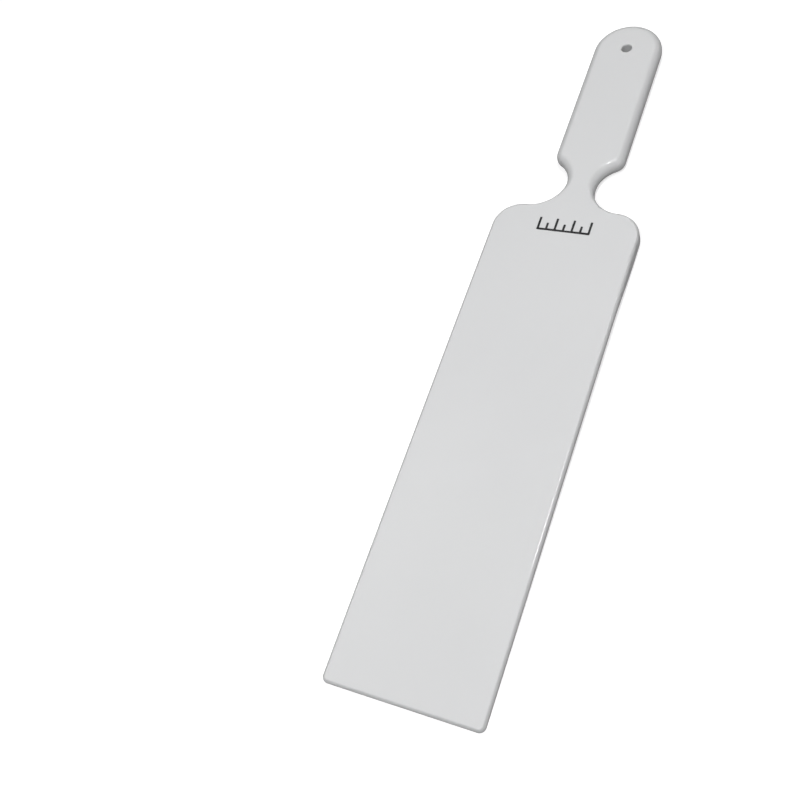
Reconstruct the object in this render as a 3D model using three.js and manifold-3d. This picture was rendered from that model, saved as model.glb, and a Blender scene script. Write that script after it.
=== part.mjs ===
// Long plastic scraper, lying on its back: a thin straight blade, thick shoulders, a waisted neck and a paddle
// handle with a hang hole, all one moulding, and a small printed scale on the blade below the neck.
// Millimetres. X runs across the blade, Y from the tip edge to the handle end, and Z points up.

import * as THREE from 'three';
import { mergeVertices } from 'three/addons/utils/BufferGeometryUtils.js';
import Module from 'manifold-3d';

const wasm = await Module();
wasm.setup();

// Plan sizes of the moulding
const overallLength = 500;
const bladeWidth = 99;
const bladeLength = 336;
const neckWidth = 20.2;
const notchRadius = 21;
const handleWidth = 47.6;
const tipCornerRadius = 4;
const handleCornerRadius = 9;

// Thickness of the moulding, measured down from its front face
const tipThickness = 3.2;
const bladeThickness = 4.2;
const shoulderThickness = 8;
const handleThickness = 12;

// How far the flexible blade has bowed down at its tip
const tipDroop = 2.5;

// Where the thickness changes: the back ramps out to the shoulders, and the neck swells into the handle
const shoulderLength = 31;
const rampLength = 50;
const neckBlendOffset = 3;

// Rounded edges all the way round the moulding: soft at the front of the blade, crisper at its back
const bladeFrontRadius = 2.2;
const bladeBackRadius = 0.8;
const handleEdgeRadius = 5.6;

// Where the front edge grows to the handle's radius: over the notch, sooner than the neck swells
const frontRoundOffset = 2;
const frontRoundLength = 24;

// Hang hole through the handle, at the centre of its round end
const holeDiameter = 7;
const holeRim = 0.8;
const rimReach = 1;

// Printed scale on the front of the blade
const markLength = 36;
const markHeight = 10;
const markShortTick = 6;
const markLine = 1.5;
const markTicks = 7;
const markFromShoulder = 20;
const inkThickness = 0.12;
const inkGap = 0.05;

// Steps along each stretch of the outline, and round each rounded edge
const steps = { tipCorner: 4, thinBlade: 10, ramp: 8, shoulderSide: 1, shoulder: 8, notch: 16, handleCorner: 5,
  handleSide: 2, handleEnd: 12, edge: 4, hole: 24 };

const plastic = new THREE.MeshStandardMaterial({ color: 0xdadbdc, roughness: 0.42, metalness: 0 });
const ink = new THREE.MeshStandardMaterial({ color: 0x17181a, roughness: 0.55, metalness: 0 });

// Sizes that follow from the ones above
const halfBlade = bladeWidth / 2;
const halfHandle = handleWidth / 2;
const notchX = neckWidth / 2 + notchRadius;
const notchY = bladeLength + notchRadius;
const shoulderRadius = halfBlade - notchX;
const shoulderY = bladeLength - shoulderRadius;
const rampTop = bladeLength - shoulderLength;
const rampFoot = rampTop - rampLength;
const handleCornerX = halfHandle - handleCornerRadius;
const handleCornerY = notchY + Math.sqrt((notchRadius + handleCornerRadius) ** 2 - (notchX - handleCornerX) ** 2);
const handleEndY = overallLength - halfHandle;
const neckBlendStart = bladeLength + neckBlendOffset;
const frontRoundStart = bladeLength + frontRoundOffset;

// How far the neck has swollen into the handle at a place along the scraper, from 0 to 1
function handleShare(y) {
  return THREE.MathUtils.smoothstep(y, neckBlendStart, handleCornerY);
}

// How far the front edge has grown to the handle's radius at a place along the scraper, from 0 to 1
function frontRoundShare(y) {
  return THREE.MathUtils.smoothstep(y, frontRoundStart, frontRoundStart + frontRoundLength);
}

// Height of the front surface: level, apart from the bow of the blade
function frontHeight(y) {
  const towardsTip = Math.max(0, 1 - y / bladeLength);
  return -tipDroop * towardsTip ** 2;
}

// Height of the back surface
function backHeight(y) {
  const thin = THREE.MathUtils.mapLinear(Math.min(y, rampFoot), 0, rampFoot, tipThickness, bladeThickness);
  const ramp = (shoulderThickness - bladeThickness) * THREE.MathUtils.smoothstep(y, rampFoot, rampTop);
  const swell = (handleThickness - shoulderThickness) * handleShare(y);
  return frontHeight(y) - (thin + ramp + swell);
}

// Radius of the front edge
function frontRadius(y) {
  return THREE.MathUtils.lerp(bladeFrontRadius, handleEdgeRadius, frontRoundShare(y));
}

// Radius of the back edge, which grows as the neck swells, so that the wall has room for both rounds
function backRadius(y) {
  return THREE.MathUtils.lerp(bladeBackRadius, handleEdgeRadius, handleShare(y));
}

// A straight stretch up the right-hand side
function side(x, fromY, toY) {
  return new THREE.LineCurve(new THREE.Vector2(x, fromY), new THREE.Vector2(x, toY));
}

// A round stretch about a centre, between two angles in degrees
function arc(x, y, radius, fromDegrees, toDegrees) {
  const from = THREE.MathUtils.degToRad(fromDegrees);
  const to = THREE.MathUtils.degToRad(toDegrees);
  return new THREE.EllipseCurve(x, y, radius, radius, from, to, to < from);
}

// Places along the right-hand outline, from the tip corner to the handle end, each with its outward direction
function rightOutline() {
  const flare = THREE.MathUtils.radToDeg(Math.atan2(handleCornerY - notchY, handleCornerX - notchX));
  const stretches = [
    [arc(halfBlade - tipCornerRadius, tipCornerRadius, tipCornerRadius, -90, 0), steps.tipCorner],
    [side(halfBlade, tipCornerRadius, rampFoot), steps.thinBlade],
    [side(halfBlade, rampFoot, rampTop), steps.ramp],
    [side(halfBlade, rampTop, shoulderY), steps.shoulderSide],
    [arc(halfBlade - shoulderRadius, shoulderY, shoulderRadius, 0, 90), steps.shoulder],
    [arc(notchX, notchY, notchRadius, 270, flare), steps.notch],
    [arc(handleCornerX, handleCornerY, handleCornerRadius, flare - 180, 0), steps.handleCorner],
    [side(halfHandle, handleCornerY, handleEndY), steps.handleSide],
    [arc(0, handleEndY, halfHandle, 0, 90), steps.handleEnd],
  ];
  const places = [];
  for (const [curve, count] of stretches) {
    for (let i = 0; i < count; i += 1) {
      const point = curve.getPoint(i / count);
      const along = curve.getTangent(i / count);
      places.push({ x: point.x, y: point.y, outX: along.y, outY: -along.x });
    }
  }
  return places;
}

// One rounded edge, from the front surface over the wall to the back surface, at a place on the outline
function edgeProfile(place) {
  const points = [];
  const rounds = [[0, frontHeight, frontRadius(place.y)], [1, backHeight, backRadius(place.y)]];
  for (const [turn, height, radius] of rounds) {
    for (let i = 0; i <= steps.edge; i += 1) {
      const angle = (Math.PI / 2) * (turn + i / steps.edge);
      const inset = radius * (1 - Math.sin(angle));
      const drop = turn === 0 ? radius * (Math.cos(angle) - 1) : radius * (1 + Math.cos(angle));
      const x = place.x - place.outX * inset;
      const y = place.y - place.outY * inset;
      points.push([x, y, height(y) + drop]);
    }
  }
  return points;
}

// The closed skin of the moulding: the rounded edge all the way round, and ladders of strips across both surfaces
function mouldingGeometry() {
  const right = rightOutline();
  const left = right.map((place) => ({ ...place, x: -place.x, outX: -place.outX })).reverse();
  const handleEnd = { x: 0, y: overallLength, outX: 0, outY: 1 };
  const profiles = [...right, handleEnd, ...left].map(edgeProfile);
  const rows = profiles[0].length;
  const count = profiles.length;
  const triangles = [];
  const corner = (place, row) => place * rows + row;
  for (let place = 0; place < count; place += 1) {
    const next = (place + 1) % count;
    for (let row = 0; row < rows - 1; row += 1) {
      triangles.push(corner(place, row), corner(place, row + 1), corner(next, row + 1));
      triangles.push(corner(place, row), corner(next, row + 1), corner(next, row));
    }
  }
  for (let place = 0; place < right.length; place += 1) {
    const across = count - 1 - place;
    const isLast = place === right.length - 1;
    for (const [row, first, second] of [[0, place, across], [rows - 1, across, place]]) {
      const step = row === 0 ? 1 : -1;
      triangles.push(corner(first, row), corner(first + step, row), corner(second, row));
      if (!isLast) triangles.push(corner(first + step, row), corner(second - step, row), corner(second, row));
    }
  }
  const geometry = new THREE.BufferGeometry();
  geometry.setAttribute('position', new THREE.Float32BufferAttribute(profiles.flat(2), 3));
  geometry.setIndex(triangles);
  return geometry;
}

// The plug that cuts the hang hole, flared at both mouths
function holeGeometry() {
  const radius = holeDiameter / 2;
  const top = frontHeight(handleEndY);
  const bottom = backHeight(handleEndY);
  const flare = radius + holeRim + rimReach;
  const profile = [
    [0, bottom - rimReach],
    [flare, bottom - rimReach],
    [radius, bottom + holeRim],
    [radius, top - holeRim],
    [flare, top + rimReach],
    [0, top + rimReach],
  ].map(([x, z]) => new THREE.Vector2(x, z));
  return new THREE.LatheGeometry(profile, steps.hole).rotateX(Math.PI / 2).translate(0, handleEndY, 0);
}

// A closed geometry as a solid that can be cut
function solid(geometry) {
  const bare = geometry.clone();
  bare.deleteAttribute('normal');
  bare.deleteAttribute('uv');
  const merged = mergeVertices(bare);
  const vertProperties = new Float32Array(merged.attributes.position.array);
  const triVerts = new Uint32Array(merged.index.array);
  return new wasm.Manifold(new wasm.Mesh({ numProp: 3, vertProperties, triVerts }));
}

// A solid as a geometry again
function geometryOf(cut) {
  const mesh = cut.getMesh();
  const geometry = new THREE.BufferGeometry();
  geometry.setAttribute('position', new THREE.BufferAttribute(mesh.vertProperties, 3));
  geometry.setIndex(new THREE.BufferAttribute(mesh.triVerts, 1));
  geometry.computeVertexNormals();
  return geometry;
}

// The moulded scraper with its hang hole
function scraperBody() {
  const body = solid(mouldingGeometry()).subtract(solid(holeGeometry()));
  const mesh = new THREE.Mesh(geometryOf(body), plastic);
  mesh.name = 'scraper_body';
  return mesh;
}

// The printed scale: a base line with upright ticks, every other one shorter
function printedScale() {
  const pitch = (markLength - markLine) / (markTicks - 1);
  const outline = new THREE.Shape();
  outline.moveTo(markLength / 2, 0);
  outline.lineTo(-markLength / 2, 0);
  for (let i = 0; i < markTicks; i += 1) {
    const start = -markLength / 2 + i * pitch;
    const height = i % 2 === 0 ? markHeight : markShortTick;
    outline.lineTo(start, height);
    outline.lineTo(start + markLine, height);
    if (i === markTicks - 1) continue;
    outline.lineTo(start + markLine, markLine);
    outline.lineTo(start + pitch, markLine);
  }
  const geometry = new THREE.ExtrudeGeometry(outline, { depth: inkThickness, bevelEnabled: false });
  const mesh = new THREE.Mesh(geometry, ink);
  mesh.name = 'printed_scale';
  mesh.position.set(0, bladeLength - markFromShoulder, frontHeight(bladeLength - markFromShoulder) + inkGap);
  return mesh;
}

// The whole scraper at rest: it leans on its tip edge and on the foot of the handle, centred over the origin
function restingScraper() {
  const scraper = new THREE.Group();
  scraper.add(scraperBody(), printedScale());
  scraper.rotation.x = Math.atan2(backHeight(0) - backHeight(handleCornerY), handleCornerY);
  const box = new THREE.Box3().setFromObject(scraper, true);
  const middle = box.getCenter(new THREE.Vector3());
  scraper.position.set(-middle.x, -middle.y, -box.min.z);
  return scraper;
}

export default restingScraper();
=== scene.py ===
"""Dresses the long plastic scraper: its moulded body, the scale printed on it, the studio and the camera.

Sizes are in metres. X runs across the blade, Y from the tip edge to the handle end, and Z points up. The
scraper is modelled level, with its tip edge at Y = 0 and the front of its handle at Z = 0, and is then laid
down as it rests.
"""

import logging
import math
from dataclasses import dataclass
from enum import Enum

import bpy
from mathutils import Matrix, Vector


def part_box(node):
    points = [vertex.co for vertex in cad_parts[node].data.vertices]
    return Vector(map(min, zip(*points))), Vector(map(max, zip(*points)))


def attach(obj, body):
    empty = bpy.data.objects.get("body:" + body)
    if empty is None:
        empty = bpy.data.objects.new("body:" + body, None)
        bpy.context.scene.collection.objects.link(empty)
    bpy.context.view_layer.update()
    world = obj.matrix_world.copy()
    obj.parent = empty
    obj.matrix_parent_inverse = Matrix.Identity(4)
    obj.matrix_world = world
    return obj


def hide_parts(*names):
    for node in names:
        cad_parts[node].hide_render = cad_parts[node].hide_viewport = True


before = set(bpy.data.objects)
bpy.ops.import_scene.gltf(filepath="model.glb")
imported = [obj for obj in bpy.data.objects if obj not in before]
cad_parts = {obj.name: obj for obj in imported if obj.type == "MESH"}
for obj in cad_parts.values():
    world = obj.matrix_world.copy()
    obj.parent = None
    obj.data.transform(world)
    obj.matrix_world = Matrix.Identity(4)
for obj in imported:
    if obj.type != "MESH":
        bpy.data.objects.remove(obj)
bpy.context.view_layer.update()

LOG = logging.getLogger("scraper")
MM = 0.001
TOLERANCE = 0.001 * MM
WHITE = (1.0, 1.0, 1.0, 1.0)

Triple = tuple[float, float, float]
Socket = bpy.types.NodeSocket


class Axis(Enum):
    """Directions that an arc turns about."""

    Y = (0.0, 1.0, 0.0)
    Z = (0.0, 0.0, 1.0)


class Sum(Enum):
    """What a node works out from two values."""

    ADD = "ADD"
    MULTIPLY = "MULTIPLY"


class ColourMix(Enum):
    """Sockets of a node that mixes two colours, by number, because some of them share a name."""

    SHARE = 0
    FIRST = 6
    SECOND = 7
    RESULT = 2


class Slot(Enum):
    """Material slots of the record."""

    PLASTIC = "moulded_plastic"
    INK = "printing_ink"


def smooth_step(value: float, low: float, high: float) -> float:
    """Ease from 0 to 1 between two values.

    Args:
        value: Where to measure.
        low: Value at and below which the result is 0.
        high: Value at and above which the result is 1.

    Returns:
        The eased share.
    """
    share = min(1.0, max(0.0, (value - low) / (high - low)))
    return share * share * (3.0 - 2.0 * share)


def deselect_all() -> None:
    """Go back to object mode and leave no object selected."""
    if bpy.context.object and bpy.context.object.mode != "OBJECT":
        bpy.ops.object.mode_set(mode="OBJECT")
    bpy.ops.object.select_all(action="DESELECT")


def make_active(piece: bpy.types.Object) -> None:
    """Select one object alone and make it the active one.

    Args:
        piece: The object.
    """
    deselect_all()
    piece.select_set(True)
    bpy.context.view_layer.objects.active = piece


def apply_modifier(piece: bpy.types.Object, kind: str, **settings: object) -> None:
    """Add a modifier, set it up and apply it.

    Args:
        piece: Object that gets the modifier.
        kind: Blender's name for the kind of modifier.
        **settings: Values of the modifier's own properties.
    """
    make_active(piece)
    modifier = piece.modifiers.new(kind.lower(), kind)
    for name, value in settings.items():
        setattr(modifier, name, value)
    bpy.ops.object.modifier_apply(modifier=modifier.name)


class EdgePen:
    """Draws one chain of edges in edit mode, a stretch at a time."""

    def __init__(self, name: str, start: Vector) -> None:
        """Put the pen down.

        Args:
            name: Name of the object that holds the chain.
            start: Place of the first point.
        """
        deselect_all()
        bpy.ops.mesh.primitive_plane_add(size=MM)
        self.piece = bpy.context.object
        self.piece.name = name
        self.start = Vector(start)
        self.point = Vector(start)
        bpy.ops.object.mode_set(mode="EDIT")
        bpy.ops.mesh.select_mode(type="VERT")
        bpy.ops.mesh.select_all(action="SELECT")
        bpy.ops.mesh.merge(type="CENTER")
        bpy.ops.transform.translate(value=self.point)

    def line_to(self, target: Vector) -> None:
        """Draw a straight stretch to a place."""
        bpy.ops.mesh.extrude_region_move(TRANSFORM_OT_translate={"value": Vector(target) - self.point})
        self.point = Vector(target)

    def arc(self, centre: Vector, degrees: float, steps: int, axis: Axis = Axis.Z) -> None:
        """Draw a round stretch about a centre.

        Args:
            centre: Place that the arc turns about.
            degrees: How far it turns, anticlockwise about the axis.
            steps: Number of edges in the arc.
            axis: Direction of the axis.
        """
        angle = math.radians(degrees)
        bpy.ops.mesh.spin(steps=steps, angle=-angle, center=centre, axis=axis.value)
        turn = Matrix.Rotation(angle, 3, Vector(axis.value))
        self.point = Vector(centre) + turn @ (self.point - Vector(centre))

    def close(self) -> None:
        """Draw a straight stretch back to the first point, and join it there."""
        self.line_to(self.start)
        bpy.ops.mesh.select_all(action="SELECT")
        bpy.ops.mesh.remove_doubles(threshold=TOLERANCE)


class NodeTree:
    """Adds nodes to a tree and joins them, a line for each node."""

    def __init__(self, tree: bpy.types.NodeTree) -> None:
        """Take the tree that the nodes go into."""
        self.tree = tree

    def feed(self, node: bpy.types.Node, inputs: dict[str, object]) -> None:
        """Set or join sockets of a node.

        Args:
            node: The node.
            inputs: Values for its sockets by name, or output sockets to join to them.
        """
        for name, value in inputs.items():
            if isinstance(value, Socket):
                self.tree.links.new(value, node.inputs[name])
            else:
                node.inputs[name].default_value = value

    def add(self, kind: str, inputs: dict[str, object] | None = None, **settings: object) -> bpy.types.Node:
        """Add one node.

        Args:
            kind: Blender's type name of the node.
            inputs: Values for its sockets by name, or output sockets to join to them.
            **settings: Values of the node's own properties.

        Returns:
            The new node.
        """
        node = self.tree.nodes.new(kind)
        for name, value in settings.items():
            setattr(node, name, value)
        self.feed(node, inputs or {})
        return node

    def span(self, value: Socket, low: float, high: float, to_low: float, to_high: float) -> Socket:
        """Map a value from one range to another, and hold it at the ends.

        Args:
            value: Socket to read.
            low: Start of its range.
            high: End of its range.
            to_low: Start of the new range.
            to_high: End of the new range.

        Returns:
            The socket with the mapped value.
        """
        ends = {"Value": value, "From Min": low, "From Max": high, "To Min": to_low, "To Max": to_high}
        return self.add("ShaderNodeMapRange", ends).outputs["Result"]

    def blend(self, share: Socket, first: Triple, second: Triple) -> Socket:
        """Mix two colours by a share.

        Args:
            share: Socket with the share of the second colour.
            first: Colour at a share of 0.
            second: Colour at a share of 1.

        Returns:
            The socket with the mixed colour.
        """
        node = self.add("ShaderNodeMix", data_type="RGBA")
        self.tree.links.new(share, node.inputs[ColourMix.SHARE.value])
        node.inputs[ColourMix.FIRST.value].default_value = (*first, 1.0)
        node.inputs[ColourMix.SECOND.value].default_value = (*second, 1.0)
        return node.outputs[ColourMix.RESULT.value]

    def scaled(self, colour: Socket, share: Socket) -> Socket:
        """Dim a colour by a share.

        Args:
            colour: Socket with the colour.
            share: Socket with the share of it that is kept.

        Returns:
            The socket with the dimmed colour.
        """
        node = self.add("ShaderNodeVectorMath", {"Vector": colour, "Scale": share}, operation="SCALE")
        return node.outputs["Vector"]

    def maths(self, kind: Sum, first: Socket, second: Socket) -> Socket:
        """Work out one value from two.

        Args:
            kind: What is done with the two values.
            first: Socket with the first value.
            second: Socket with the second value.

        Returns:
            The socket with the result.
        """
        node = self.add("ShaderNodeMath", operation=kind.value)
        for socket, value in zip(node.inputs, (first, second)):
            self.tree.links.new(value, socket)
        return node.outputs["Value"]

    def noise(self, place: Socket, per_metre: float, detail: float) -> Socket:
        """Make a soft random pattern.

        Args:
            place: Socket with the place on the piece.
            per_metre: How fine the pattern is.
            detail: How many finer layers it has.

        Returns:
            The socket with the pattern, from about 0 to 1.
        """
        inputs = {"Vector": place, "Scale": per_metre, "Detail": detail}
        return self.add("ShaderNodeTexNoise", inputs).outputs["Fac"]

    def bump(self, height: Socket, depth: float) -> Socket:
        """Turn a height into a bumpy surface direction.

        Args:
            height: Socket with the height.
            depth: What a height of 1 measures.

        Returns:
            The socket with the direction.
        """
        inputs = {"Height": height, "Distance": depth, "Strength": 1.0}
        return self.add("ShaderNodeBump", inputs).outputs["Normal"]


def new_material(name: str) -> tuple[bpy.types.Material, NodeTree, bpy.types.Node]:
    """Start a material.

    Args:
        name: Name of the material.

    Returns:
        The material, its nodes and its shader.
    """
    material = bpy.data.materials.new(name)
    material.use_nodes = True
    return material, NodeTree(material.node_tree), material.node_tree.nodes["Principled BSDF"]


@dataclass(frozen=True)
class MouldGrain:
    """Node group for the skin that a mould leaves: fine grain, slow waves and soft clouds in the colour.

    The two heights are in millimetres.
    """

    name: str = "mould_grain"
    grain_per_metre: float = 1500.0
    grain_detail: float = 2.0
    grain_height: float = 0.012
    wave_per_metre: float = 16.0
    wave_detail: float = 1.0
    wave_height: float = 0.5
    cloud_per_metre: float = 9.0
    cloud_detail: float = 3.0
    cloud_low: float = 0.3
    cloud_high: float = 0.7

    def group(self) -> bpy.types.NodeTree:
        """Build the group once.

        Returns:
            The group, with Height in millimetres and Cloud from 0 to 1.
        """
        if self.name in bpy.data.node_groups:
            return bpy.data.node_groups[self.name]
        tree = bpy.data.node_groups.new(self.name, "ShaderNodeTree")
        tree.interface.new_socket("Vector", in_out="INPUT", socket_type="NodeSocketVector")
        tree.interface.new_socket("Height", in_out="OUTPUT", socket_type="NodeSocketFloat")
        tree.interface.new_socket("Cloud", in_out="OUTPUT", socket_type="NodeSocketFloat")
        nodes = NodeTree(tree)
        place = nodes.add("NodeGroupInput").outputs["Vector"]
        grain = nodes.noise(place, self.grain_per_metre, self.grain_detail)
        wave = nodes.noise(place, self.wave_per_metre, self.wave_detail)
        cloud = nodes.noise(place, self.cloud_per_metre, self.cloud_detail)
        fine = nodes.span(grain, 0.0, 1.0, 0.0, self.grain_height)
        slow = nodes.span(wave, 0.0, 1.0, 0.0, self.wave_height)
        height = nodes.maths(Sum.ADD, fine, slow)
        spread = nodes.span(cloud, self.cloud_low, self.cloud_high, 0.0, 1.0)
        nodes.add("NodeGroupOutput", {"Height": height, "Cloud": spread})
        return tree


@dataclass(frozen=True)
class MouldedPlastic:
    """Semi-gloss off-white moulded plastic, with a mould's grain and rounded edges darkened by painted shade.

    The levels say how far a surface faces up or down, from 0 on a wall to 1 on a flat face. The painted edge
    shades say how much painted shade darkens a rounded edge on the blade and on the handle, and one changes
    into the other between two places along Y.
    """

    name: str = "moulded_plastic"
    pale: Triple = (0.610, 0.614, 0.619)
    shade: Triple = (0.596, 0.600, 0.606)
    polished: float = 0.16
    dull: float = 0.22
    reflection: float = 0.2
    grain_unit: float = MM
    flat_level: float = 0.999
    round_level: float = 0.9
    steep_level: float = 0.3
    blade_painted_edge_shade: float = 0.20
    handle_painted_edge_shade: float = 0.10
    blade_end: float = 70 * MM
    handle_start: float = 100 * MM

    def kept_after_painted_shade(self, nodes: NodeTree, place: Socket, direction: Socket) -> Socket:
        """Work out how much of the colour is kept, which is less where painted shade darkens the rounded
        edges.

        Args:
            nodes: Nodes of the material.
            place: Socket with the place on the piece.
            direction: Socket with the direction that the surface faces.

        Returns:
            The socket with the share that is kept.
        """
        # Painted shade: the colour is darkened where the surface turns from a flat face towards a wall, on
        # the rounded edges, more on the blade than on the handle.
        upward = nodes.add("ShaderNodeSeparateXYZ", {"Vector": direction}).outputs["Z"]
        level = nodes.add("ShaderNodeMath", {"Value": upward}, operation="ABSOLUTE").outputs["Value"]
        tilted = nodes.span(level, self.flat_level, self.round_level, 0.0, 1.0)
        off_the_wall = nodes.span(level, 0.0, self.steep_level, 0.0, 1.0)
        rounded = nodes.maths(Sum.MULTIPLY, tilted, off_the_wall)
        along = nodes.add("ShaderNodeSeparateXYZ", {"Vector": place}).outputs["Y"]
        loss = nodes.span(along, self.blade_end, self.handle_start, self.blade_painted_edge_shade, self.handle_painted_edge_shade)
        return nodes.span(nodes.maths(Sum.MULTIPLY, rounded, loss), 0.0, 1.0, 1.0, 0.0)

    def material(self) -> bpy.types.Material:
        """Build the material.

        Returns:
            The new material.
        """
        material, nodes, shader = new_material(self.name)
        coordinates = nodes.add("ShaderNodeTexCoord")
        place = coordinates.outputs["Object"]
        grain = nodes.add("ShaderNodeGroup", node_tree=MouldGrain().group())
        nodes.feed(grain, {"Vector": place})
        cloud = grain.outputs["Cloud"]
        body = nodes.blend(cloud, self.pale, self.shade)
        # Painted shade on the rounded edges darkens the base colour.
        kept = self.kept_after_painted_shade(nodes, place, coordinates.outputs["Normal"])
        finish = {
            "Base Color": nodes.scaled(body, kept),
            "Roughness": nodes.span(cloud, 0.0, 1.0, self.polished, self.dull),
            "Specular IOR Level": self.reflection,
            "Normal": nodes.bump(grain.outputs["Height"], self.grain_unit),
        }
        nodes.feed(shader, finish)
        return material


@dataclass(frozen=True)
class PrintingInk:
    """Thin black ink with a slightly uneven film."""

    name: str = "printing_ink"
    black: Triple = (0.010, 0.010, 0.011)
    thin: Triple = (0.030, 0.030, 0.032)
    film_per_metre: float = 700.0
    film_detail: float = 3.0
    film_low: float = 0.35
    film_high: float = 0.65
    film_depth: float = 0.02 * MM
    glossy: float = 0.38
    dull: float = 0.55

    def material(self) -> bpy.types.Material:
        """Build the material.

        Returns:
            The new material.
        """
        material, nodes, shader = new_material(self.name)
        place = nodes.add("ShaderNodeTexCoord").outputs["Object"]
        film = nodes.noise(place, self.film_per_metre, self.film_detail)
        uneven = nodes.span(film, self.film_low, self.film_high, 0.0, 1.0)
        finish = {
            "Base Color": nodes.blend(uneven, self.black, self.thin),
            "Roughness": nodes.span(uneven, 0.0, 1.0, self.glossy, self.dull),
            "Normal": nodes.bump(film, self.film_depth),
        }
        nodes.feed(shader, finish)
        return material


def stand_in(piece: bpy.types.Object, node: str, material: bpy.types.Material) -> None:
    """Give a finished piece its material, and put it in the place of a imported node.

    Args:
        piece: The finished piece.
        node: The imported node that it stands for.
        material: Its material.
    """
    piece.data.materials.clear()
    piece.data.materials.append(material)
    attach(piece, "root")
    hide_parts(node)


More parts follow.
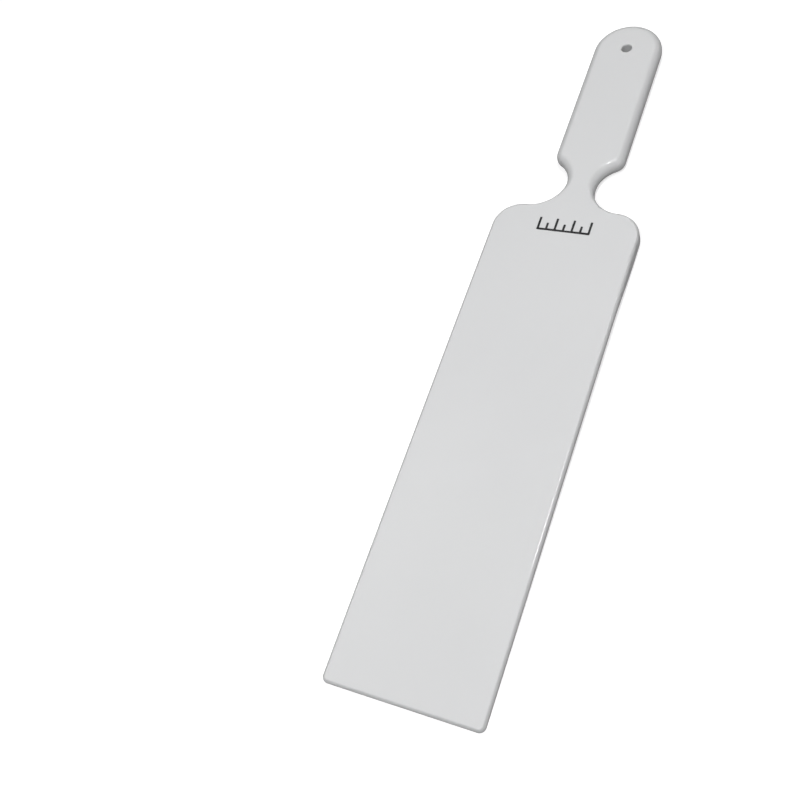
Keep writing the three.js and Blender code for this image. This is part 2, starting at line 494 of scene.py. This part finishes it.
@dataclass
class ScraperBody:
    """The one-piece moulding: thin blade, thick shoulders, narrow neck and paddle handle with a hang hole."""

    name: str = "moulded_scraper"
    node: str = "scraper_body"
    finish: MouldedPlastic = MouldedPlastic()
    overall_length: float = 500 * MM
    blade_width: float = 99 * MM
    blade_length: float = 336 * MM
    neck_width: float = 20.2 * MM
    notch_radius: float = 21 * MM
    handle_width: float = 47.6 * MM
    tip_corner_radius: float = 4 * MM
    handle_corner_radius: float = 9 * MM
    tip_thickness: float = 3.2 * MM
    blade_thickness: float = 4.2 * MM
    shoulder_thickness: float = 8 * MM
    handle_thickness: float = 12 * MM
    tip_droop: float = 2.5 * MM
    shoulder_length: float = 31 * MM
    ramp_length: float = 50 * MM
    neck_blend_offset: float = 3 * MM
    blade_front_radius: float = 2.2 * MM
    blade_back_radius: float = 0.8 * MM
    handle_edge_radius: float = 5.6 * MM
    front_round_offset: float = 2 * MM
    front_round_length: float = 24 * MM
    hole_diameter: float = 7 * MM
    hole_rim: float = 0.8 * MM
    plug_reach: float = 2 * MM
    edge_segments: int = 8
    step_degrees: float = 3.0
    least_steps: int = 3
    corner_fineness: int = 2
    blade_steps: int = 26
    ramp_steps: int = 20
    shoulder_steps: int = 4
    handle_steps: int = 6
    hole_steps: int = 48
    sharp_degrees: float = 60.0
    smooth_degrees: float = 40.0
    flat_face_weight: int = 80

    def __post_init__(self) -> None:
        """Work out the places that follow from the sizes."""
        self.half_blade = self.blade_width / 2
        self.half_handle = self.handle_width / 2
        self.notch_x = self.neck_width / 2 + self.notch_radius
        self.notch_y = self.blade_length + self.notch_radius
        self.shoulder_radius = self.half_blade - self.notch_x
        self.shoulder_y = self.blade_length - self.shoulder_radius
        self.ramp_top = self.blade_length - self.shoulder_length
        self.ramp_foot = self.ramp_top - self.ramp_length
        self.corner_x = self.half_handle - self.handle_corner_radius
        reach = self.notch_radius + self.handle_corner_radius
        self.corner_y = self.notch_y + math.sqrt(reach**2 - (self.notch_x - self.corner_x) ** 2)
        self.handle_end_y = self.overall_length - self.half_handle
        self.flare = math.degrees(math.atan2(self.corner_y - self.notch_y, self.corner_x - self.notch_x))
        self.blend_start = self.blade_length + self.neck_blend_offset
        self.blend_end = self.notch_y + self.notch_radius * math.sin(math.radians(self.flare))
        self.front_round_start = self.blade_length + self.front_round_offset
        self.front_round_end = self.front_round_start + self.front_round_length

    def handle_share(self, y: float) -> float:
        """Say how far the neck has swollen into the handle, from 0 to 1."""
        return smooth_step(y, self.blend_start, self.corner_y)

    def front_height(self, y: float) -> float:
        """Give the height of the front face, which the blade's bow lowers towards the tip."""
        return -self.tip_droop * max(0.0, 1.0 - y / self.blade_length) ** 2

    def thickness(self, y: float) -> float:
        """Give the thickness of the moulding.

        Args:
            y: Place along the moulding.

        Returns:
            The thickness there.
        """
        thin_share = min(1.0, max(0.0, y / self.ramp_foot))
        thin = self.tip_thickness + (self.blade_thickness - self.tip_thickness) * thin_share
        ramp_share = smooth_step(y, self.ramp_foot, self.ramp_top)
        ramp = (self.shoulder_thickness - self.blade_thickness) * ramp_share
        return thin + ramp + (self.handle_thickness - self.shoulder_thickness) * self.handle_share(y)

    def edge_radius(self, place: Vector) -> float:
        """Give the radius of the rounded edge, which is at its full size before the handle's corner.

        Args:
            place: A place on the front edge or on the back edge.

        Returns:
            The radius there.
        """
        if place.z > self.front_height(place.y) - self.thickness(place.y) / 2:
            radius = self.blade_front_radius
            share = smooth_step(place.y, self.front_round_start, self.front_round_end)
        else:
            radius = self.blade_back_radius
            share = smooth_step(place.y, self.blend_start, self.blend_end)
        return radius + (self.handle_edge_radius - radius) * share

    def rest_tilt(self) -> float:
        """Give the angle at which the scraper leans on its tip edge and the foot of its handle."""
        tip_depth = self.thickness(0.0) + self.tip_droop
        return math.atan2(self.handle_thickness - tip_depth, self.corner_y)

    def steps_for(self, degrees: float) -> int:
        """Give the number of edges for an arc."""
        return max(self.least_steps, round(abs(degrees) / self.step_degrees))

    def draw_right_side(self) -> EdgePen:
        """Draw the right-hand edge of the front face, from the tip corner to the handle end.

        Returns:
            The pen, at the handle end.
        """
        tip = self.front_height(0.0)
        tip_steps = self.steps_for(90) * self.corner_fineness
        pen = EdgePen(self.name, Vector((self.half_blade - self.tip_corner_radius, 0.0, tip)))
        pen.arc(Vector((pen.point.x, self.tip_corner_radius, tip)), 90, tip_steps)
        stretches = (
            (self.ramp_foot, self.blade_steps),
            (self.ramp_top, self.ramp_steps),
            (self.shoulder_y, self.shoulder_steps),
        )
        for end, steps in stretches:
            start = pen.point.y
            for step in range(1, steps + 1):
                y = start + (end - start) * step / steps
                pen.line_to(Vector((self.half_blade, y, self.front_height(y))))
        level = pen.point.z
        shoulder_x = self.half_blade - self.shoulder_radius
        notch_turn = self.flare - 270
        corner_turn = 180 - self.flare
        corner_steps = self.steps_for(corner_turn) * self.corner_fineness
        pen.arc(Vector((shoulder_x, self.shoulder_y, level)), 90, self.steps_for(90))
        pen.arc(Vector((self.notch_x, self.notch_y, level)), notch_turn, self.steps_for(notch_turn))
        pen.arc(Vector((self.corner_x, self.corner_y, level)), corner_turn, corner_steps)
        start = pen.point.y
        for step in range(1, self.handle_steps + 1):
            y = start + (self.handle_end_y - start) * step / self.handle_steps
            pen.line_to(Vector((self.half_handle, y, level)))
        half_step = self.step_degrees / 2
        pen.arc(Vector((0.0, self.handle_end_y, level)), 90 - half_step, self.steps_for(90))
        return pen

    def face_front(self, piece: bpy.types.Object) -> None:
        """Mirror the drawn edge and bridge the two sides into the front face.

        Args:
            piece: The object that holds the drawn edge.
        """
        make_active(piece)
        bpy.ops.object.mode_set(mode="EDIT")
        bpy.ops.mesh.select_all(action="SELECT")
        bpy.ops.mesh.duplicate()
        bpy.ops.transform.resize(value=(-1.0, 1.0, 1.0), center_override=(0.0, 0.0, 0.0))
        bpy.ops.mesh.select_all(action="SELECT")
        bpy.ops.mesh.bridge_edge_loops()
        bpy.ops.mesh.select_all(action="SELECT")
        bpy.ops.mesh.normals_make_consistent(inside=False)
        bpy.ops.object.mode_set(mode="OBJECT")
        if piece.data.polygons[0].normal.z < 0:
            piece.data.flip_normals()

    def thicken(self, piece: bpy.types.Object) -> None:
        """Give the front face its back, at the thickness that each place has.

        Args:
            piece: The front face.
        """
        group = piece.vertex_groups.new(name="thickness")
        full = self.handle_thickness
        for vertex in piece.data.vertices:
            group.add([vertex.index], self.thickness(vertex.co.y) / full, "REPLACE")
        apply_modifier(piece, "SOLIDIFY", thickness=full, offset=-1.0, vertex_group=group.name)
        piece.vertex_groups.clear()

    def round_edges(self, piece: bpy.types.Object) -> None:
        """Round the front and back edges, each place by its own radius, and keep within the moulding's size.

        Args:
            piece: The moulding with square edges.
        """
        make_active(piece)
        bpy.ops.object.mode_set(mode="EDIT")
        bpy.ops.mesh.select_mode(type="EDGE")
        bpy.ops.mesh.select_all(action="DESELECT")
        bpy.ops.mesh.edges_select_sharp(sharpness=math.radians(self.sharp_degrees))
        bpy.ops.object.mode_set(mode="OBJECT")
        mesh = piece.data
        full = self.handle_edge_radius
        weights = mesh.attributes.new("bevel_weight_edge", "FLOAT", "EDGE")
        for edge in mesh.edges:
            if edge.select:
                first, second = (mesh.vertices[index].co for index in edge.vertices)
                weights.data[edge.index].value = self.edge_radius((first + second) / 2) / full
        apply_modifier(
            piece,
            "BEVEL",
            width=full,
            segments=self.edge_segments,
            limit_method="WEIGHT",
            offset_type="OFFSET",
            loop_slide=False,
            use_clamp_overlap=False,
        )
        side = self.half_blade - TOLERANCE
        for vertex in mesh.vertices:
            place = vertex.co
            place.x = min(side, max(-side, place.x))
            place.z = max(place.z, self.front_height(place.y) - self.thickness(place.y))

    def hole_plug(self) -> bpy.types.Object:
        """Make the plug that cuts the hang hole, with a rounded flare at both mouths.

        Returns:
            The plug.
        """
        radius, rim, reach = self.hole_diameter / 2, self.hole_rim, self.plug_reach
        back, y = -self.handle_thickness, self.handle_end_y
        pen = EdgePen("hole_plug", Vector((0.0, y, back - reach)))
        pen.line_to(Vector((radius + rim, y, back - reach)))
        pen.line_to(Vector((radius + rim, y, back)))
        pen.arc(Vector((radius + rim, y, back + rim)), 90, self.edge_segments, Axis.Y)
        pen.line_to(Vector((radius, y, -rim)))
        pen.arc(Vector((radius + rim, y, -rim)), 90, self.edge_segments, Axis.Y)
        pen.line_to(Vector((radius + rim, y, reach)))
        pen.line_to(Vector((0.0, y, reach)))
        bpy.ops.mesh.select_all(action="SELECT")
        bpy.ops.mesh.spin(steps=self.hole_steps, angle=2 * math.pi, center=(0.0, y, 0.0), axis=Axis.Z.value)
        bpy.ops.mesh.select_all(action="SELECT")
        bpy.ops.mesh.remove_doubles(threshold=TOLERANCE)
        bpy.ops.mesh.normals_make_consistent(inside=False)
        bpy.ops.object.mode_set(mode="OBJECT")
        return pen.piece

    def cut_hang_hole(self, piece: bpy.types.Object) -> None:
        """Cut the hang hole through the handle.

        Args:
            piece: The moulding without its hole.
        """
        plug = self.hole_plug()
        apply_modifier(piece, "BOOLEAN", operation="DIFFERENCE", object=plug, solver="EXACT")
        bpy.data.objects.remove(plug)

    def build(self) -> bpy.types.Object:
        """Model the moulding, level and unfinished.

        Returns:
            The moulding.
        """
        piece = self.draw_right_side().piece
        self.face_front(piece)
        self.thicken(piece)
        self.round_edges(piece)
        self.cut_hang_hole(piece)
        make_active(piece)
        bpy.ops.object.shade_smooth_by_angle(angle=math.radians(self.smooth_degrees))
        apply_modifier(piece, "WEIGHTED_NORMAL", weight=self.flat_face_weight, keep_sharp=True)
        return piece

    def dress(self, piece: bpy.types.Object) -> None:
        """Give the moulding its finish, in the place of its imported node."""
        stand_in(piece, self.node, self.finish.material())


@dataclass
class PrintedScale:
    """The small printed scale on the blade: a base line with long and short ticks."""

    name: str = "scale_print"
    node: str = "printed_scale"
    finish: PrintingInk = PrintingInk()
    length: float = 36 * MM
    long_tick: float = 10 * MM
    short_tick: float = 6 * MM
    line: float = 1.5 * MM
    ticks: int = 7
    from_shoulder: float = 20 * MM
    film: float = 0.1 * MM
    lift: float = 0.04 * MM
    corner_radius: float = 0.3 * MM
    corner_segments: int = 4

    def build(self, body: ScraperBody) -> bpy.types.Object:
        """Model the film of ink on the level blade.

        Args:
            body: The moulding that carries it.

        Returns:
            The film.
        """
        base_y = body.blade_length - self.from_shoulder
        base_z = body.front_height(base_y) + self.lift
        left = -self.length / 2
        pitch = (self.length - self.line) / (self.ticks - 1)
        pen = EdgePen(self.name, Vector((-left, base_y, base_z)))
        pen.line_to(Vector((left, base_y, base_z)))
        for tick in range(self.ticks):
            start = left + tick * pitch
            top = base_y + (self.long_tick if tick % 2 == 0 else self.short_tick)
            pen.line_to(Vector((start, top, base_z)))
            pen.line_to(Vector((start + self.line, top, base_z)))
            if tick < self.ticks - 1:
                pen.line_to(Vector((start + self.line, base_y + self.line, base_z)))
                pen.line_to(Vector((start + pitch, base_y + self.line, base_z)))
        pen.close()
        bpy.ops.mesh.select_all(action="SELECT")
        bpy.ops.mesh.edge_face_add()
        bpy.ops.mesh.bevel(offset=self.corner_radius, segments=self.corner_segments, affect="VERTICES")
        bpy.ops.mesh.select_all(action="SELECT")
        bpy.ops.mesh.normals_make_consistent(inside=False)
        bpy.ops.object.mode_set(mode="OBJECT")
        if pen.piece.data.polygons[0].normal.z < 0:
            pen.piece.data.flip_normals()
        apply_modifier(pen.piece, "SOLIDIFY", thickness=self.film, offset=1.0)
        apply_modifier(pen.piece, "TRIANGULATE", quad_method="BEAUTY", ngon_method="BEAUTY")
        return pen.piece

    def dress(self, piece: bpy.types.Object) -> None:
        """Give the film its finish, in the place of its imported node."""
        stand_in(piece, self.node, self.finish.material())


@dataclass
class RestPlace:
    """How the level scraper is laid down on the floor."""

    tilt: float
    shift: Vector

    @classmethod
    def of(cls, body: ScraperBody, piece: bpy.types.Object) -> "RestPlace":
        """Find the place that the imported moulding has.

        Args:
            body: Sizes of the moulding.
            piece: The moulding, still level.

        Returns:
            The place.
        """
        tilt = body.rest_tilt()
        turn = Matrix.Rotation(tilt, 3, "X")
        turned = [turn @ vertex.co for vertex in piece.data.vertices]
        lowest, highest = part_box(body.node)
        middle = (min(point.y for point in turned) + max(point.y for point in turned)) / 2
        floor = min(point.z for point in turned)
        return cls(tilt, Vector((0.0, (lowest.y + highest.y) / 2 - middle, lowest.z - floor)))

    def lay(self, piece: bpy.types.Object) -> None:
        """Lay a level piece down, and put its place into its mesh.

        Args:
            piece: The level piece.
        """
        make_active(piece)
        piece.rotation_euler.x = self.tilt
        piece.location = self.shift
        bpy.ops.object.transform_apply(location=True, rotation=True, scale=True)


@dataclass(frozen=True)
class SoftBox:
    """One square soft lamp."""

    name: str
    place: Triple
    aim: Triple
    size: float
    power: float

    def build(self) -> None:
        """Hang the lamp and turn it to its aim."""
        deselect_all()
        bpy.ops.object.light_add(type="AREA", location=self.place)
        lamp = bpy.context.object
        lamp.name = self.name
        lamp.data.shape = "SQUARE"
        lamp.data.size = self.size
        lamp.data.energy = self.power
        facing = (Vector(self.aim) - Vector(self.place)).to_track_quat("-Z", "Y")
        lamp.rotation_euler = facing.to_euler()


@dataclass
class Studio:
    """The pale floor, the soft light and the camera.

    The floor and the backdrop look paler to the camera than they are to the scraper, so that they don't light
    its edges from below. Lamp and floor sizes are in metres, and powers are in watts.
    """

    floor_size: float = 8.0
    floor_drop: float = 0.05 * MM
    floor_colour: Triple = (0.42, 0.42, 0.42)
    floor_bounce: Triple = (0.30, 0.30, 0.30)
    floor_lift: float = 0.7
    sky_top: float = 0.03
    sky_edge: float = 0.02
    sky_top_height: float = 0.8
    backdrop: float = 0.95
    camera_place: Triple = (205.66 * MM, -325.42 * MM, 561.59 * MM)
    camera_aim: Triple = (-64.36 * MM, -73.87 * MM, 10.32 * MM)
    camera_roll: float = -30.498
    camera_reach: float = 50.0
    lens: float = 47.8
    sensor: float = 36.0
    boxes: tuple[SoftBox, ...] = (
        SoftBox("front_lamp", place=(0.0, -1.0, 1.74), aim=(0.0, 0.0, 0.0), size=0.5, power=24.0),
        SoftBox("right_fill", place=(1.7, -0.2, 1.0), aim=(0.0, 0.0, 0.0), size=1.2, power=4.4),
        SoftBox("left_fill", place=(-1.0, 0.3, 1.5), aim=(0.0, 0.0, 0.0), size=0.8, power=2.0),
        SoftBox("handle_lamp", place=(0.2, 0.27, 1.4), aim=(0.0, 0.05, 0.0), size=0.08, power=10.5),
    )

    def build_floor(self) -> None:
        """Lay the floor."""
        deselect_all()
        bpy.ops.mesh.primitive_plane_add(size=self.floor_size, location=(0.0, 0.0, -self.floor_drop))
        floor = bpy.context.object
        floor.name = "studio_floor"
        material, nodes, shader = new_material("studio_floor")
        seen = nodes.add("ShaderNodeLightPath").outputs["Is Camera Ray"]
        finish = {
            "Base Color": nodes.blend(seen, self.floor_bounce, self.floor_colour),
            "Emission Strength": nodes.span(seen, 0.0, 1.0, 0.0, self.floor_lift),
            "Emission Color": WHITE,
            "Roughness": 1.0,
            "Specular IOR Level": 0.0,
        }
        nodes.feed(shader, finish)
        floor.data.materials.append(material)

    def build_sky(self) -> None:
        """Light the room evenly from above, and less from the sides."""
        world = bpy.data.worlds.new("studio_sky")
        world.use_nodes = True
        bpy.context.scene.world = world
        nodes = NodeTree(world.node_tree)
        direction = nodes.add("ShaderNodeTexCoord").outputs["Generated"]
        height = nodes.add("ShaderNodeSeparateXYZ", {"Vector": direction}).outputs["Z"]
        light = nodes.span(height, 0.0, self.sky_top_height, self.sky_edge, self.sky_top)
        seen = nodes.add("ShaderNodeLightPath").outputs["Is Camera Ray"]
        lift = nodes.span(seen, 0.0, 1.0, 0.0, self.backdrop)
        strength = nodes.maths(Sum.ADD, light, lift)
        nodes.feed(world.node_tree.nodes["Background"], {"Color": WHITE, "Strength": strength})

    def build_camera(self) -> None:
        """Stand the camera where the photograph was taken from."""
        deselect_all()
        bpy.ops.object.camera_add(location=self.camera_place)
        camera = bpy.context.object
        camera.name = "photo_camera"
        facing = (Vector(self.camera_aim) - Vector(self.camera_place)).to_track_quat("-Z", "Y")
        roll = Matrix.Rotation(math.radians(self.camera_roll), 4, "Z")
        camera.rotation_euler = (facing.to_matrix().to_4x4() @ roll).to_euler()
        camera.data.lens = self.lens
        camera.data.sensor_width = self.sensor
        camera.data.clip_end = self.camera_reach
        bpy.context.scene.camera = camera

    def build(self) -> None:
        """Set up the whole studio."""
        self.build_floor()
        self.build_sky()
        for box in self.boxes:
            box.build()
        self.build_camera()
        bpy.context.scene.view_settings.view_transform = "Standard"


def main() -> None:
    """Build the scraper and the studio in order, and report each piece."""
    logging.basicConfig(level=logging.INFO)
    body = ScraperBody()
    scale = PrintedScale()
    moulding = body.build()
    film = scale.build(body)
    rest = RestPlace.of(body, moulding)
    for piece in (moulding, film):
        rest.lay(piece)
    for maker, piece in ((body, moulding), (scale, film)):
        maker.dress(piece)
        LOG.info("%s: %d faces", piece.name, len(piece.data.polygons))
    Studio().build()


if __name__ == "__main__":
    main()
